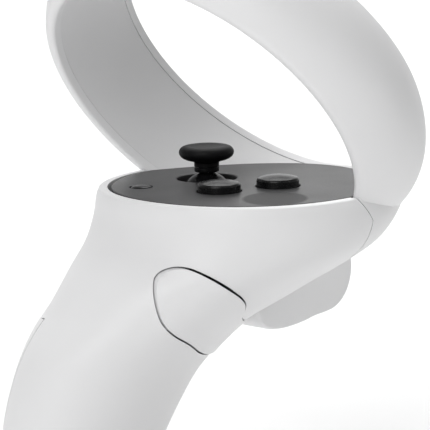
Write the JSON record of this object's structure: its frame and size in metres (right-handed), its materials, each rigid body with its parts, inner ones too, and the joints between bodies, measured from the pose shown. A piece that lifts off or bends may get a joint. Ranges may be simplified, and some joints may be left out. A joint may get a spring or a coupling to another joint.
{
  "type": "motion controller",
  "caption": "Hand-held motion controller: thumb face with stick and buttons under a tracking ring, a hinged trigger and grip button, and a leaning battery handle.",
  "frame": {"origin": "centre of the face plate's top surface, between the stick and the buttons", "axes": "+Z out of the face plate towards the thumb, +Y to the front where the ring stands, +X to the inner side where the buttons are"},
  "size_m": [0.0998, 0.1024, 0.1562],
  "materials": {
    "white_plastic": "fine satin moulded",
    "dark_plate": "satin",
    "black_plastic": "satin",
    "black_rubber": "matt",
    "grey_plastic": "matt",
    "steel": "bright",
    "circuit_board": "solder mask",
    "silicone": "matt",
    "battery_wrap": "printed sleeve with no print",
    "led_flex": "polyimide film",
    "light_plastic": "natural"
  },
  "bodies": {
    "housing": {"ring_outer_shell": "white_plastic", "ring_inner_cover": "white_plastic", "housing_shell": "white_plastic", "face_plate": "dark_plate", "stick_sensor_pitch": "black_plastic", "stick_sensor_roll": "black_plastic", "inner_frame": "grey_plastic", "trigger_bracket": "grey_plastic", "battery_tray": "grey_plastic", "door_latch": "grey_plastic", "frame_screw_1": "steel", "frame_screw_2": "steel", "frame_screw_3": "steel", "frame_screw_4": "steel", "dome_switch_x": "steel", "dome_switch_y": "steel", "dome_switch_menu": "steel", "stick_module_case": "steel", "shield_can": "steel", "haptic_motor": "steel", "trigger_pin": "steel", "trigger_spring": "steel", "grip_pin": "steel", "grip_spring": "steel", "battery_plate_contact": "steel", "battery_spring_contact": "steel", "lanyard_bar": "steel", "main_board": "circuit_board", "button_board": "circuit_board", "trigger_hall_board": "circuit_board", "button_mat": "silicone", "battery_cell": "battery_wrap", "ring_led_strip": "led_flex", "battery_connector": "light_plastic", "antenna": "light_plastic"},
    "battery_door": {"battery_door": "white_plastic"},
    "trigger": {"trigger": "white_plastic", "trigger_magnet": "steel"},
    "grip": {"grip_button": "white_plastic"},
    "button_x": {"button_x": "black_plastic"},
    "button_y": {"button_y": "black_plastic"},
    "menu_button": {"menu_button": "black_plastic"},
    "stick_slider": {"stick_slider": "light_plastic"},
    "stick_yoke": {"stick_yoke": "grey_plastic"},
    "stick": {"stick_cap": "black_rubber", "stick_shaft": "black_plastic", "stick_skirt": "black_plastic"}
  },
  "joints": [
    {"name": "battery_door_slide", "type": "slide", "parent": "housing", "child": "battery_door", "axis": [-0.13, -0.4001, -0.9072], "range_m": [0, 0.066]},
    {"name": "trigger_pull", "type": "hinge", "parent": "housing", "child": "trigger", "pos_m": [0, 0.013, -0.0196], "axis": [-1, 0, 0], "range_deg": [0, 14], "stiffness_Nm_per_rad": 0.08, "springref_deg": -6.88},
    {"name": "grip_squeeze", "type": "hinge", "parent": "housing", "child": "grip", "pos_m": [0.0066, -0.038, -0.0136], "axis": [0.1389, 0.1894, 0.972], "range_deg": [0, 6], "stiffness_Nm_per_rad": 0.08, "springref_deg": -6.88},
    {"name": "button_x_press", "type": "slide", "parent": "housing", "child": "button_x", "axis": [0, 0, -1], "range_m": [0, 0.001], "stiffness_N_per_m": 600, "springref_m": -0.0005},
    {"name": "button_y_press", "type": "slide", "parent": "housing", "child": "button_y", "axis": [0, 0, -1], "range_m": [0, 0.001], "stiffness_N_per_m": 600, "springref_m": -0.0005},
    {"name": "menu_press", "type": "slide", "parent": "housing", "child": "menu_button", "axis": [0, 0, -1], "range_m": [0, 0.0006], "stiffness_N_per_m": 600, "springref_m": -0.0005},
    {"name": "stick_click", "type": "slide", "parent": "housing", "child": "stick_slider", "axis": [0, 0, -1], "range_m": [0, 0.0005], "stiffness_N_per_m": 1500, "springref_m": -0.0006},
    {"name": "stick_pitch", "type": "hinge", "parent": "stick_slider", "child": "stick_yoke", "pos_m": [-0.0137, -0.0003, -0.005], "axis": [1, 0, 0], "range_deg": [-16, 16], "stiffness_Nm_per_rad": 0.02},
    {"name": "stick_roll", "type": "hinge", "parent": "stick_yoke", "child": "stick", "pos_m": [-0.0137, -0.0003, -0.005], "axis": [0, 1, 0], "range_deg": [-16, 16], "stiffness_Nm_per_rad": 0.02}
  ]
}
